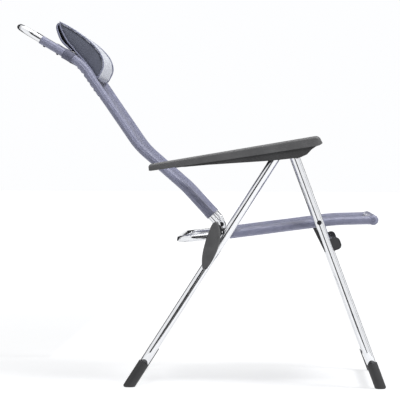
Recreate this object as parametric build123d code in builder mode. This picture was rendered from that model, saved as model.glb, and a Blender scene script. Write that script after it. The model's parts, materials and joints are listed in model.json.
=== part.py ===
"""Folding camp chair: two U-shaped leg frames crossing under toothed armrests, a sling seat and back.

Millimetres, +Z up, +X to the front, +Y to the sitter's left. The origin is on the floor under the
middle of the chair. The side profile lies in the XZ plane, and each pair is mirrored about it.
"""
from build123d import *
from math import atan2, cos, hypot, radians, sin, sqrt, tan
import os

os.makedirs("parts", exist_ok=True)

# Tubes and sleeves
LEG_R = 12.5
SLING_R = 10.0
SLEEVE_R = 11.5
WALL = 1.5
CLOTH = 3.0
BEND_R = 45.0

# Sideways distance of each tube's centre from the middle plane
LEG_Y = 285.0
SEAT_Y = 243.0
BACK_Y = 218.0

# Pivots in the side profile, as (X, Z)
LEG_PIVOT = (237.0, 641.8)
SEAT_PIVOT = (328.1, 451.4)
BACK_PIVOT = (51.2, 432.3)
LINK_PIVOT = (20.2, 330.3)
ARM_PIVOT = (-107.0, 602.0)

# Legs
FRONT_LEAN = 20.63
REAR_LEAN = -32.46
LEG_BAR_Z = 57.0
FRONT_TOP_GAP = 20.0
REAR_TOP_GAP = 30.0
FOOT_R = 15.0
FOOT_TOP = 12.0

# Fasteners
BOLT_R = 4.0
RUNNING = 0.05
HEAD_R = 6.5
PIVOT_BOSS_R = 10.0
COLLAR_R = LEG_R - 1.1

# Brace tube in front of the front legs
BRACE_Z = 386.5
BRACE_AHEAD = 23.5

# Side profiles of the seat and back tubes, as (X, Z), from the rear or bottom end
SEAT_LINE = [(-53.5, 403.0), (98.5, 418.5), (368.5, 454.5), (476.2, 458.0)]
SEAT_BENDS = [600.0, 500.0]
BACK_LINE = [
    (54.3, 420.7),
    (46.5, 450.0),
    (-41.5, 545.5),
    (-168.5, 655.0),
    (-326.5, 884.0),
    (-499.5, 986.0),
]
BACK_BENDS = [22.0, 260.0, 220.0, 120.0]
SEAT_SLEEVE_X = (83.5, 462.0)
BACK_SLEEVE_Z = (466.0, 950.0)
BACK_SAG = 3.0

# Headrest: half its width, its front and rear outline as (X, Z), and the flap behind it
HEADREST_HALF = 195.0
HEADREST_FRONT = [
    (-389.0, 1000.0),
    (-359.0, 984.0),
    (-322.0, 959.0),
    (-295.7, 937.0),
    (-275.0, 910.6),
    (-267.6, 879.2),
    (-281.6, 846.0),
]
HEADREST_REAR = [
    (-281.6, 846.0),
    (-290.0, 848.0),
    (-305.3, 872.0),
    (-332.9, 903.5),
    (-353.0, 927.0),
    (-371.0, 950.0),
    (-387.0, 982.0),
]
FLAP_LINE = [
    (-391.2, 996.0),
    (-396.0, 990.0),
    (-396.0, 978.0),
    (-384.5, 949.0),
    (-367.0, 930.5),
    (-355.5, 921.5),
]
FLAP_THICK = 4.0
STRAP_UP = 42.0
STRAP_WIDTH = 29.0
STRAP_THICK = 1.2

# Armrest, outside width and inside channel
ARM_IN = 258.0
ARM_OUT = 312.0
SHELL_SIDE = 4.0
SHELL_TOP = 3.0
CHANNEL_IN = 271.0
CHANNEL_OUT = 299.0
NOTCH_PITCH = 24.0
NOTCH_COUNT = 7


def save(piece, name):
    """Label one finished piece and write it as its own file."""
    piece.part.label = name
    export_step(piece.part, f"parts/{name}.step")


def save_pair(right, name):
    """Write the right-hand piece and its mirror image."""
    with BuildPart() as left:
        mirror(right.part, about=Plane.XZ)
    save(right, f"{name}_right")
    save(left, f"{name}_left")


def save_both_sides(right, name):
    """Write a piece and its mirror image together, as separate solids of one file."""
    with BuildPart() as both:
        add(right.part)
        mirror(right.part, about=Plane.XZ)
    save(both, name)


def side_plane(y):
    """The side profile's plane on the right, at distance y from the middle. Extruding goes outwards."""
    return Plane.XZ.offset(y)


def rod(spot, y_in, y_out, radius, mode=Mode.ADD):
    """A round bar across the chair on its right side, centred on a point of the side profile."""
    with BuildSketch(side_plane(y_in)) as disc:
        with Locations(spot):
            Circle(radius)
    extrude(disc.sketch, amount=y_out - y_in, dir=(0, -1, 0), mode=mode)


def cross_holes(spot, y, radius, reach):
    """A hole across the tubes of both sides, centred on a point of the side profile."""
    for side in (1, -1):
        with BuildSketch(Plane.XZ.offset(side * y)) as disc:
            with Locations(spot):
                Circle(radius)
        extrude(disc.sketch, amount=reach, both=True, mode=Mode.SUBTRACT)


def pipe_along(path, radius, inner, mode=Mode.ADD):
    """A round tube along a path, solid where the inner radius is zero."""
    with BuildSketch(Plane(origin=path @ 0, z_dir=path % 0)) as ring:
        Circle(radius)
        if inner:
            Circle(inner, mode=Mode.SUBTRACT)
    sweep(ring.sketch, path=path, mode=mode)


def leg_plane(lean):
    """The plane of a leg frame, with its origin at the floor bar and its Y axis up along the legs."""
    pivot = SEAT_PIVOT if lean > 0 else LINK_PIVOT
    bar_x = pivot[0] + (pivot[1] - LEG_BAR_Z) * tan(radians(lean))
    normal = (cos(radians(lean)), 0, sin(radians(lean)))
    return Plane(origin=(bar_x, 0, LEG_BAR_Z), x_dir=(0, 1, 0), z_dir=normal)


def leg_top(lean, gap):
    """How far up the leg's line its tube ends, measured from the floor bar."""
    plane = leg_plane(lean)
    up = plane.y_dir
    reach = (LEG_PIVOT[0] - plane.origin.X) * up.X + (LEG_PIVOT[1] - plane.origin.Z) * up.Z
    return reach - gap


def leg_tube(lean, gap, radius, inner, mode=Mode.ADD):
    """The bent U tube of a leg frame."""
    plane = leg_plane(lean)
    top = leg_top(lean, gap)
    with BuildLine(plane) as route:
        FilletPolyline((-LEG_Y, top), (-LEG_Y, 0), (LEG_Y, 0), (LEG_Y, top), radius=BEND_R)
    pipe_along(route.line, radius, inner, mode)


def along_leg(lean, distance):
    """A point (X, Z) on the leg's line, at a distance up from the floor bar."""
    plane = leg_plane(lean)
    return (plane.origin.X + plane.y_dir.X * distance, plane.origin.Z + plane.y_dir.Z * distance)


def leg_frame(name, lean, gap, hole):
    """A leg frame with its cross holes."""
    with BuildPart() as frame:
        leg_tube(lean, gap, LEG_R, LEG_R - WALL)
        cross_holes(hole, LEG_Y, BOLT_R + RUNNING, LEG_R + 5)
    save(frame, name)


def foot(name, lean):
    """A plastic foot round the bend of a leg frame, flat on the floor."""
    plane = leg_plane(lean)
    up = plane.y_dir
    low = along_leg(lean, -90)
    with BuildPart() as shoe:
        with BuildSketch(Plane(origin=(low[0], -LEG_Y, low[1]), x_dir=(0, 1, 0), z_dir=up)):
            Circle(FOOT_R)
        extrude(amount=90 + FOOT_TOP)
        split(bisect_by=Plane.XY, keep=Keep.TOP)
        fillet(shoe.faces().sort_by(Axis.Z)[0].edges(), radius=5)
        with BuildSketch(Plane(origin=(plane.origin.X, -LEG_Y + 6, LEG_BAR_Z), x_dir=up, z_dir=(0, 1, 0))):
            Circle(FOOT_R)
        extrude(amount=26)
        leg_tube(lean, 300, LEG_R, 0, mode=Mode.SUBTRACT)
    save_pair(shoe, name)


def leg_knuckle(name, lean, gap, y_in, y_out, hole_r):
    """A plug in the tube's top end, with a tongue that reaches the leg pivot."""
    top = leg_top(lean, gap)
    up = leg_plane(lean).y_dir
    end = along_leg(lean, top)
    with BuildPart() as knuckle:
        with BuildSketch(Plane(origin=(end[0], -LEG_Y, end[1]), x_dir=(0, 1, 0), z_dir=up)):
            Circle(COLLAR_R)
        extrude(amount=4)
        with BuildSketch(Plane(origin=(end[0], -LEG_Y, end[1]), x_dir=(0, 1, 0), z_dir=up)):
            Circle(LEG_R - WALL)
        extrude(amount=-26)
        with BuildSketch(side_plane(y_in)):
            with Locations(LEG_PIVOT):
                Circle(PIVOT_BOSS_R)
            with Locations(Location((end[0] + up.X * 2, end[1] + up.Z * 2, 0), (0, 0, lean + 90))):
                Rectangle(4, 2 * LEG_R - 4)
            make_hull()
        extrude(amount=y_out - y_in)
        rod(LEG_PIVOT, y_in - 1, y_out + 1, hole_r, mode=Mode.SUBTRACT)
    save_pair(knuckle, name)


def front_legs():
    """Front leg frame, feet, top knuckles and the notch pins that the armrests rest on."""
    leg_frame("front_leg_frame", FRONT_LEAN, FRONT_TOP_GAP, SEAT_PIVOT)
    foot("front_foot", FRONT_LEAN)
    leg_knuckle("front_leg_knuckle", FRONT_LEAN, FRONT_TOP_GAP, 288, 297, BOLT_R)
    with BuildPart() as pin:
        rod(LEG_PIVOT, 272.9, 297.1, BOLT_R)
        rod(LEG_PIVOT, 272.0, 272.9, HEAD_R - 1)
        rod(LEG_PIVOT, 297.1, 298.0, HEAD_R - 1)
    save_both_sides(pin, "notch_pins")


def brace():
    """Cross tube in front of the front legs, its clamps, and the plastic saddles behind the legs."""
    lean = radians(FRONT_LEAN)
    rise = (BRACE_Z - LEG_BAR_Z) / cos(lean)
    leg_spot = along_leg(FRONT_LEAN, rise)
    ahead = (cos(lean), sin(lean))
    spot = (leg_spot[0] + ahead[0] * BRACE_AHEAD, leg_spot[1] + ahead[1] * BRACE_AHEAD)
    with BuildPart() as tube:
        rod(spot, -286, 286, SLING_R)
        rod(spot, -287, 287, SLING_R - WALL, mode=Mode.SUBTRACT)
    save(tube, "brace_tube")
    with BuildPart() as clamp:
        with BuildSketch(side_plane(268)):
            with Locations(Location((spot[0], spot[1], 0), (0, 0, FRONT_LEAN))):
                SlotOverall(34, 25, rotation=90)
                with Locations((-BRACE_AHEAD / 2, 0)):
                    Rectangle(BRACE_AHEAD, 34)
        extrude(amount=20)
        leg_tube(FRONT_LEAN, FRONT_TOP_GAP, LEG_R + RUNNING, 0, mode=Mode.SUBTRACT)
        behind = leg_plane(FRONT_LEAN)
        split(bisect_by=behind, keep=Keep.TOP)
        rod(spot, 267, 286, SLING_R, mode=Mode.SUBTRACT)
    save_pair(clamp, "brace_clamp")
    top = along_leg(FRONT_LEAN, 409)
    bottom = along_leg(FRONT_LEAN, 340)
    back = (-cos(lean), -sin(lean))
    with BuildPart() as saddle:
        with BuildSketch(side_plane(268)):
            with BuildLine():
                Polyline(
                    top,
                    (top[0] + back[0] * 13.8, top[1] + back[1] * 13.8 - 3),
                    (top[0] + back[0] * 14.8, top[1] + back[1] * 14.8 - 14),
                    (bottom[0] + back[0] * 13.6, bottom[1] + back[1] * 13.6),
                    bottom,
                    close=True,
                )
            make_face()
        extrude(amount=20)
        leg_tube(FRONT_LEAN, FRONT_TOP_GAP, LEG_R, 0, mode=Mode.SUBTRACT)
    save_pair(saddle, "leg_saddle")


def rear_legs():
    """Rear leg frame, feet and top knuckles."""
    leg_frame("rear_leg_frame", REAR_LEAN, REAR_TOP_GAP, LINK_PIVOT)
    foot("rear_foot", REAR_LEAN)
    leg_knuckle("rear_leg_knuckle", REAR_LEAN, REAR_TOP_GAP, 273, 282, BOLT_R + RUNNING)


def side_links():
    """Leaf-shaped side plates that tie the rear legs to the back pivot, with their bolts and studs."""
    with BuildPart() as plate:
        with BuildSketch(side_plane(299)):
            with BuildLine():
                ThreePointArc((49, 470), (13, 374), (14, 308))
                ThreePointArc((14, 308), (58, 396), (49, 470))
            make_face()
            fillet(vertices(), radius=9)
        extrude(amount=8)
        fillet(plate.faces().sort_by(Axis.Y)[0].edges(), radius=2)
        rod(LINK_PIVOT, 298, 308, BOLT_R, mode=Mode.SUBTRACT)
        rod(BACK_PIVOT, 298, 308, BOLT_R, mode=Mode.SUBTRACT)
    save_pair(plate, "side_plate")
    with BuildPart() as bolt:
        rod(LINK_PIVOT, 266.0, 307, BOLT_R)
        rod(LINK_PIVOT, 307, 309.5, HEAD_R)
        rod(LINK_PIVOT, 268.0, 272.2, HEAD_R)
        fillet(bolt.faces().sort_by(Axis.Y)[0].edges(), radius=1.5)
    save_both_sides(bolt, "link_bolts")
    with BuildPart() as stud:
        rod(BACK_PIVOT, 256.2, 299, 6.0)
        rod(BACK_PIVOT, 299, 307, BOLT_R)
        rod(BACK_PIVOT, 307, 309.5, HEAD_R)
        fillet(stud.faces().sort_by(Axis.Y)[0].edges(), radius=1.5)
    save_both_sides(stud, "link_studs")


def seat_route(radius, inner, mode=Mode.ADD):
    """The seat tube: a rear loop and two side rails."""
    rear, low, high, front = SEAT_LINE
    with BuildLine() as route:
        FilletPolyline(
            (front[0], -SEAT_Y, front[1]),
            (high[0], -SEAT_Y, high[1]),
            (low[0], -SEAT_Y, low[1]),
            (rear[0], -SEAT_Y, rear[1]),
            (rear[0], SEAT_Y, rear[1]),
            (low[0], SEAT_Y, low[1]),
            (high[0], SEAT_Y, high[1]),
            (front[0], SEAT_Y, front[1]),
            radius=[SEAT_BENDS[1], SEAT_BENDS[0], BEND_R, BEND_R, SEAT_BENDS[0], SEAT_BENDS[1]],
        )
    pipe_along(route.line, radius, inner, mode)


def rail_height(line, x):
    """Height of a straight-sided profile line at a given X."""
    spans = zip(line, line[1:])
    for (x0, z0), (x1, z1) in spans:
        if min(x0, x1) <= x <= max(x0, x1):
            return z0 + (z1 - z0) * (x - x0) / (x1 - x0)
    return line[-1][1]


def seat():
    """Seat frame, its front bar, hinge brackets, spacers, pivot bolts and sling."""
    front = SEAT_LINE[-1]
    with BuildPart() as frame:
        seat_route(SLING_R, SLING_R - WALL)
        cross_holes(SEAT_PIVOT, SEAT_Y, BOLT_R, SLING_R + 4)
        rod(front, -SEAT_Y - 14, SEAT_Y + 14, SLING_R, mode=Mode.SUBTRACT)
    save(frame, "seat_frame")
    with BuildPart() as bar:
        rod(front, -SEAT_Y - 10, SEAT_Y + 10, SLING_R)
        rod(front, -SEAT_Y + 9, SEAT_Y - 9, SLING_R - WALL, mode=Mode.SUBTRACT)
    save(bar, "seat_front_bar")
    rail_z = rail_height(SEAT_LINE, BACK_PIVOT[0])
    with BuildPart() as bracket:
        with BuildSketch(side_plane(231.6)):
            with Locations(BACK_PIVOT):
                Circle(11)
            with Locations((BACK_PIVOT[0] - 1, rail_z)):
                Circle(14)
            make_hull()
        extrude(amount=23)
        seat_route(SLING_R, 0, mode=Mode.SUBTRACT)
        rod(BACK_PIVOT, 230, 256, BOLT_R + RUNNING, mode=Mode.SUBTRACT)
    save_pair(bracket, "seat_hinge_bracket")
    with BuildPart() as spacer:
        rod(SEAT_PIVOT, 253.1, 272.2, 9)
        rod(SEAT_PIVOT, 252, 273, BOLT_R, mode=Mode.SUBTRACT)
    save_both_sides(spacer, "seat_pivot_spacers")
    with BuildPart() as bolt:
        rod(SEAT_PIVOT, 228.0, 297.7, BOLT_R)
        rod(SEAT_PIVOT, 297.7, 300.4, HEAD_R)
        rod(SEAT_PIVOT, 226.5, 231.0, HEAD_R)
        fillet(bolt.faces().sort_by(Axis.Y)[0].edges(), radius=1.5)
    save_both_sides(bolt, "seat_pivot_bolts")
    seat_sling(front)


def seat_sling(front):
    """Seat sling: a sleeve on each rail, a panel between them and a hem round the front bar."""
    start, stop = SEAT_SLEEVE_X
    _, low, high, _ = SEAT_LINE
    first = (start, rail_height(SEAT_LINE, start))
    last = (stop, rail_height(SEAT_LINE, stop))
    with BuildPart() as sling:
        with BuildLine() as rail:
            FilletPolyline(
                (first[0], -SEAT_Y, first[1]),
                (low[0], -SEAT_Y, low[1]),
                (high[0], -SEAT_Y, high[1]),
                (last[0], -SEAT_Y, last[1]),
                radius=[150, SEAT_BENDS[1]],
            )
        with BuildSketch(Plane(origin=rail.line @ 0, z_dir=rail.line % 0)):
            Circle(SLEEVE_R)
        sweep(path=rail.line)
        mirror(about=Plane.XZ)
        with BuildSketch(Plane.XZ):
            with BuildLine():
                FilletPolyline(first, low, high, front, radius=[150, SEAT_BENDS[1]])
                offset(amount=CLOTH / 2, kind=Kind.INTERSECTION)
            make_face()
        extrude(amount=SEAT_Y - 2, both=True)
        with BuildSketch(Plane.XZ):
            with Locations(front):
                Circle(SLING_R + 2)
        extrude(amount=SEAT_Y + 9, both=True)
        seat_route(SLING_R, 0, mode=Mode.SUBTRACT)
        rod(front, -SEAT_Y - 20, SEAT_Y + 20, SLING_R, mode=Mode.SUBTRACT)
        cross_holes(SEAT_PIVOT, SEAT_Y, 9.5, 18)
    save(sling, "seat_sling")


def back_route(radius, inner, mode=Mode.ADD):
    """The back tube: two side rails that bend at the waist and shoulders, and a top handle."""
    rail = [(x, -BACK_Y, z) for x, z in BACK_LINE]
    other = [(x, BACK_Y, z) for x, z in reversed(BACK_LINE)]
    with BuildLine() as route:
        FilletPolyline(*rail, *other, radius=[*BACK_BENDS, BEND_R, BEND_R, *reversed(BACK_BENDS)])
    pipe_along(route.line, radius, inner, mode)


def point_at_height(line, z):
    """The point of a profile line at a given height."""
    for (x0, z0), (x1, z1) in zip(line, line[1:]):
        if min(z0, z1) <= z <= max(z0, z1):
            return (x0 + (x1 - x0) * (z - z0) / (z1 - z0), z)
    return line[-1]


def back():
    """Back frame, its end plugs, pivot pins, armrest spacers and sling."""
    tail, ankle = BACK_LINE[0], BACK_LINE[1]
    tail_plane = Plane(
        origin=(tail[0], -BACK_Y, tail[1]),
        x_dir=(0, 1, 0),
        z_dir=(tail[0] - ankle[0], 0, tail[1] - ankle[1]),
    )
    with BuildPart() as frame:
        back_route(SLING_R, SLING_R - WALL)
        for spot in (BACK_PIVOT, ARM_PIVOT):
            cross_holes(spot, BACK_Y, BOLT_R + RUNNING, SLING_R + 4)
    save(frame, "back_frame")
    with BuildPart() as plug:
        with BuildSketch(tail_plane):
            Circle(SLING_R)
        extrude(amount=3)
        with BuildSketch(tail_plane):
            Circle(SLING_R - WALL)
        extrude(amount=-6)
    save_both_sides(plug, "back_end_plugs")
    with BuildPart() as pin:
        rod(BACK_PIVOT, 206, 254.6, BOLT_R)
        rod(BACK_PIVOT, 204.5, 207.6, HEAD_R)
        rod(BACK_PIVOT, 228.3, 231.3, HEAD_R)
    save_both_sides(pin, "back_pivot_pins")
    with BuildPart() as spacer:
        rod(ARM_PIVOT, 228.1, 257.6, 8)
        rod(ARM_PIVOT, 227, 258, BOLT_R + RUNNING, mode=Mode.SUBTRACT)
    save_both_sides(spacer, "armrest_spacers")
    with BuildPart() as arm_pin:
        rod(ARM_PIVOT, 206, 292, BOLT_R)
        rod(ARM_PIVOT, 204.5, 207.6, HEAD_R)
    save_both_sides(arm_pin, "armrest_pivot_pins")
    back_sling()


def back_sling():
    """Back sling: a sleeve on each rail and a panel between them."""
    bottom = point_at_height(BACK_LINE, BACK_SLEEVE_Z[0])
    top = point_at_height(BACK_LINE, BACK_SLEEVE_Z[1])
    line = [bottom, *BACK_LINE[2:5], top]
    bends = BACK_BENDS[1:]
    behind = BACK_SAG / sqrt(2)
    with BuildPart() as sling:
        with BuildLine() as rail:
            FilletPolyline(*[(x, -BACK_Y, z) for x, z in line], radius=bends)
        with BuildSketch(Plane(origin=rail.line @ 0, z_dir=rail.line % 0)):
            Circle(SLEEVE_R)
        sweep(path=rail.line)
        mirror(about=Plane.XZ)
        with BuildSketch(Plane.XZ):
            with BuildLine():
                FilletPolyline(*[(x - behind, z - behind) for x, z in line], radius=bends)
                offset(amount=CLOTH / 2, kind=Kind.INTERSECTION)
            make_face()
        extrude(amount=BACK_Y - 2, both=True)
        back_route(SLING_R, 0, mode=Mode.SUBTRACT)
        cross_holes(ARM_PIVOT, BACK_Y, 8.5, 18)
    save(sling, "back_sling")


def headrest():
    """Headrest cushion, its rear flap and the webbing strap round the back frame."""
    with BuildPart() as cushion:
        with BuildSketch(Plane.XZ):
            with BuildLine():
                Spline(*HEADREST_FRONT)
                Spline(*HEADREST_REAR)
                Line(HEADREST_REAR[-1], HEADREST_FRONT[0])
            make_face()
        extrude(amount=HEADREST_HALF, both=True)
    save(cushion, "headrest_cushion")
    with BuildPart() as flap:
        with BuildSketch(Plane.XZ):
            with BuildLine():
                Polyline(*FLAP_LINE)
                offset(amount=FLAP_THICK / 2, kind=Kind.INTERSECTION)
            make_face()
        extrude(amount=HEADREST_HALF - 3, both=True)
    save(flap, "headrest_flap")
    shoulder, handle = BACK_LINE[4], BACK_LINE[5]
    slope = atan2(handle[1] - shoulder[1], handle[0] - shoulder[0])
    middle = (shoulder[0] + cos(slope) * STRAP_UP, shoulder[1] + sin(slope) * STRAP_UP)
    across = Plane(origin=(middle[0], 0, middle[1]), x_dir=(0, 1, 0), z_dir=(cos(slope), 0, sin(slope)))
    half_wide = BACK_Y + SLEEVE_R + 1
    half_high = SLEEVE_R + 1
    with BuildPart() as strap:
        with BuildSketch(across):
            SlotOverall(2 * (half_wide + STRAP_THICK), 2 * (half_high + STRAP_THICK))
            SlotOverall(2 * half_wide, 2 * half_high, mode=Mode.SUBTRACT)
        extrude(amount=STRAP_WIDTH / 2, both=True)
    save(strap, "headrest_strap")


def armrest():
    """Armrest: a top shell, and the notched rail under it that rests on the notch pin."""
    aim = atan2(LEG_PIVOT[1] - ARM_PIVOT[1], LEG_PIVOT[0] - ARM_PIVOT[0])
    reach = hypot(LEG_PIVOT[0] - ARM_PIVOT[0], LEG_PIVOT[1] - ARM_PIVOT[1])

    def plane(y):
        start = (ARM_PIVOT[0], -y, ARM_PIVOT[1])
        return Plane(origin=start, x_dir=(cos(aim), 0, sin(aim)), z_dir=(0, -1, 0))

    top = [(-20, 9.0), (436, 34.5)]
    edge_slope = (top[1][1] - top[0][1]) / (top[1][0] - top[0][0])

    def under_top(u, gap):
        return top[0][1] + edge_slope * (u - top[0][0]) - gap

    with BuildPart() as shell:
        with BuildSketch(plane(ARM_IN)):
            with BuildLine():
                Polyline(
                    (-29, -9), top[0], top[1], (447, 14), (437, 8.5), (290, 2), (40, -7), close=True
                )
            make_face()
        extrude(amount=ARM_OUT - ARM_IN)
        long_edges = shell.edges().filter_by(Axis.Y).sort_by(Axis.Z)
        fillet(long_edges[-1], radius=9)
        fillet(shell.edges().filter_by(Axis.Y).sort_by(Axis.X)[-1], radius=5)
        fillet(shell.edges().filter_by(Axis.Y).sort_by(Axis.X)[0:2], radius=5)
        with BuildSketch(plane(ARM_IN + SHELL_SIDE)):
            with BuildLine():
                Polyline(
                    (42, -20),
                    (42, under_top(42, SHELL_TOP)),
                    (428, under_top(428, SHELL_TOP)),
                    (428, -20),
                    close=True,
                )
            make_face()
        extrude(amount=ARM_OUT - ARM_IN - 2 * SHELL_SIDE, mode=Mode.SUBTRACT)
        with BuildSketch(plane(ARM_IN - 1)):
            Circle(BOLT_R + RUNNING)
        extrude(amount=36, mode=Mode.SUBTRACT)
    save_pair(shell, "armrest_shell")

    with BuildPart() as rail:
        with BuildSketch(plane(ARM_IN + SHELL_SIDE)):
            with BuildLine():
                Polyline(
                    (43, -8),
                    (43, under_top(43, SHELL_TOP + 0.2)),
                    (427, under_top(427, SHELL_TOP + 0.2)),
                    (427, 6),
                    (416, 0),
                    (402, -12),
                    (382, -18.5),
                    (300, -18.0),
                    (114, -9.5),
                    close=True,
                )
            make_face()
        extrude(amount=ARM_OUT - ARM_IN - 2 * SHELL_SIDE)
        with BuildSketch(plane(CHANNEL_IN)):
            with BuildLine():
                Polyline(
                    (105, -30),
                    (105, 40),
                    (226, 40),
                    (226, under_top(226, SHELL_TOP + 3.5)),
                    (402, under_top(402, SHELL_TOP + 3.5)),
                    (402, -30),
                    close=True,
                )
            make_face()
        extrude(amount=CHANNEL_OUT - CHANNEL_IN, mode=Mode.SUBTRACT)
        with BuildSketch(plane(282.5)) as comb:
            with BuildLine():
                Polyline(
                    (226, 5.0),
                    (226, under_top(226, SHELL_TOP + 1)),
                    (403, under_top(403, SHELL_TOP + 1)),
                    (403, 5.0),
                    close=True,
                )
            make_face()
            for number in range(NOTCH_COUNT):
                with Locations((reach - number * NOTCH_PITCH + NOTCH_PITCH, 5.0)):
                    Circle(5.2, mode=Mode.SUBTRACT)
        extrude(amount=5)
    save_pair(rail, "armrest_rail")


front_legs()
brace()
rear_legs()
side_links()
seat()
back()
headrest()
armrest()
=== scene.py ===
"""Folding camp chair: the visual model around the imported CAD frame. Metres, +X front, +Z up."""

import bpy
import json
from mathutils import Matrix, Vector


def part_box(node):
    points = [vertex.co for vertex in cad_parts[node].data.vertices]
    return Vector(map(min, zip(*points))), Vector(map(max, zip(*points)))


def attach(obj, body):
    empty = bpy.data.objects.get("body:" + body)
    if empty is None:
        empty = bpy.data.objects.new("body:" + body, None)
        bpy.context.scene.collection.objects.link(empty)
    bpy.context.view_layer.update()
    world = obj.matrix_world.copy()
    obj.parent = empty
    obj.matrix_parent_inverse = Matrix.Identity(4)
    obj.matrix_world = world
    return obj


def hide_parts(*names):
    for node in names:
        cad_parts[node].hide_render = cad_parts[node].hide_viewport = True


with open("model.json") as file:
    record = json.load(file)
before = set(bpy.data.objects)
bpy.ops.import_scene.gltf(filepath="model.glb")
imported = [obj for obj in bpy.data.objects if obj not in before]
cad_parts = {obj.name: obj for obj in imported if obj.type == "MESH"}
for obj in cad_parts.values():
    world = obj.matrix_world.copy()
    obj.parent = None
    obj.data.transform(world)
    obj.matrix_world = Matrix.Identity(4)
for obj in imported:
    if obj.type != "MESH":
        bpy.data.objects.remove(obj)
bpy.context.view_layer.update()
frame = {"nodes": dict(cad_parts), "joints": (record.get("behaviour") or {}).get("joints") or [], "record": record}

import json
import math

import bmesh
import bpy
from mathutils import Matrix, Vector, noise

# Each side of the chair: its sign along Y and its label
SIDES = ((-1, "right"), (1, "left"))


def side_reach(node, less=0.0):
    """How far a CAD node reaches to the side, less some of it."""
    return round(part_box(node)[1][1] - less, 4)


def joint_place(name):
    """Where a joint's axis crosses the side view, as (x, z)."""
    x, _, z = next(joint["pos_m"] for joint in frame["joints"] if joint["name"] == name)
    return x, z


# Centre lines of the seat and back tubes as (x, z), their bend radii, and how far each stands to the side
TUBE_R = 0.010
SEAT_Y = side_reach("seat_frame", less=TUBE_R)
SEAT_LINE = [(0.0835, 0.41697), (0.0985, 0.4185), (0.3685, 0.4545), (0.4762, 0.4580)]
SEAT_BENDS = [0.15, 0.50]
BACK_Y = side_reach("back_frame", less=TUBE_R)
BACK_LINE = [(0.0321, 0.4660), (-0.0415, 0.5455), (-0.1685, 0.6550), (-0.3265, 0.8840), (-0.4385, 0.9500)]
BACK_BENDS = [0.26, 0.22, 0.12]

# The straight top of the back tubes, from the shoulder bend to the handle
SHOULDER = Vector(BACK_LINE[3])
HANDLE_END = Vector((-0.4995, 0.986))
HANDLE_RUN = (HANDLE_END - SHOULDER).normalized()

# Surroundings that the floor fades into
STUDIO_WHITE = (0.985, 0.99, 1.0)


# ---------------------------------------------------------------- materials


class Surface:
    """A new material, with short ways to add its nodes."""

    def __init__(self, name):
        self.material = bpy.data.materials.new(name)
        self.material.use_nodes = True
        self.tree = self.material.node_tree
        self.shader = self.tree.nodes["Principled BSDF"]

    def node(self, kind, inputs=None, **settings):
        """A node whose inputs are each linked to a socket or set to a value."""
        made = self.tree.nodes.new(kind)
        for key, value in settings.items():
            setattr(made, key, value)
        for key, value in (inputs or {}).items():
            if isinstance(value, bpy.types.NodeSocket):
                self.tree.links.new(value, made.inputs[key])
            else:
                made.inputs[key].default_value = value
        return made

    def coordinates(self, kind="Object"):
        return self.node("ShaderNodeTexCoord").outputs[kind]

    def math(self, operation, a, b=0.0):
        return self.node("ShaderNodeMath", {0: a, 1: b}, operation=operation).outputs[0]

    def noise(self, scale, detail=4.0, roughness=0.55):
        """Noise over the object's own metres."""
        inputs = {"Vector": self.coordinates(), "Scale": scale, "Detail": detail, "Roughness": roughness}
        return self.node("ShaderNodeTexNoise", inputs).outputs["Fac"]

    def ramp(self, value, *stops):
        """A colour ramp through (position, colour) stops."""
        made = self.node("ShaderNodeValToRGB", {0: value})
        band = made.color_ramp
        while len(band.elements) < len(stops):
            band.elements.new(0.5)
        for element, (spot, colour) in zip(band.elements, stops):
            element.position = spot
            element.color = (*colour, 1)
        return made.outputs[0]

    def span(self, value, low, high, from_low=0.0, from_high=1.0):
        """A value between from_low and from_high, mapped to low and high."""
        inputs = {0: value, 1: from_low, 2: from_high, 3: low, 4: high}
        return self.node("ShaderNodeMapRange", inputs).outputs[0]

    def waves(self, value, pitch):
        """A sine that crosses zero every pitch metres."""
        return self.math("SINE", self.math("MULTIPLY", value, math.pi / pitch))

    def colour(self, socket):
        self.tree.links.new(socket, self.shader.inputs["Base Color"])

    def rough(self, socket):
        self.tree.links.new(socket, self.shader.inputs["Roughness"])

    def bump(self, height, strength, distance):
        made = self.node("ShaderNodeBump", {"Strength": strength, "Distance": distance, "Height": height})
        self.tree.links.new(made.outputs[0], self.shader.inputs["Normal"])

    def set(self, **values):
        for key, value in values.items():
            self.shader.inputs[key.replace("_", " ")].default_value = value


def polished_tube():
    """Polished aluminium: bright, with faint handling marks and a fine surface grain."""
    look = Surface("polished_tube")
    look.set(Metallic=1.0)
    marks = look.noise(38.0, 6.0, 0.65)
    fine = look.noise(900.0, 2.0)
    worn = look.math("ADD", look.math("MULTIPLY", marks, 0.7), look.math("MULTIPLY", fine, 0.3))
    look.colour(look.ramp(marks, (0.3, (0.78, 0.79, 0.81)), (0.7, (0.86, 0.865, 0.88))))
    look.rough(look.span(worn, 0.05, 0.20))
    look.bump(fine, 0.06, 0.0002)
    return look.material


def moulded(name, dark, light, low, high):
    """Moulded plastic with a fine grain and slight colour drift, between two roughnesses."""
    look = Surface(name)
    drift = look.noise(22.0, 5.0)
    grain = look.noise(1700.0, 2.0, 0.5)
    look.colour(look.ramp(drift, (0.3, dark), (0.72, light)))
    look.rough(look.span(grain, low, high))
    look.bump(look.math("ADD", grain, look.math("MULTIPLY", drift, 0.3)), 0.25, 0.0003)
    return look.material


def black_steel():
    """Blackened rivets and bolts with worn spots."""
    look = Surface("black_steel")
    look.set(Metallic=1.0)
    wear = look.noise(420.0, 5.0, 0.7)
    look.colour(look.ramp(wear, (0.45, (0.02, 0.02, 0.022)), (0.72, (0.10, 0.10, 0.11))))
    look.rough(look.span(wear, 0.25, 0.5))
    look.bump(wear, 0.2, 0.0002)
    return look.material


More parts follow.
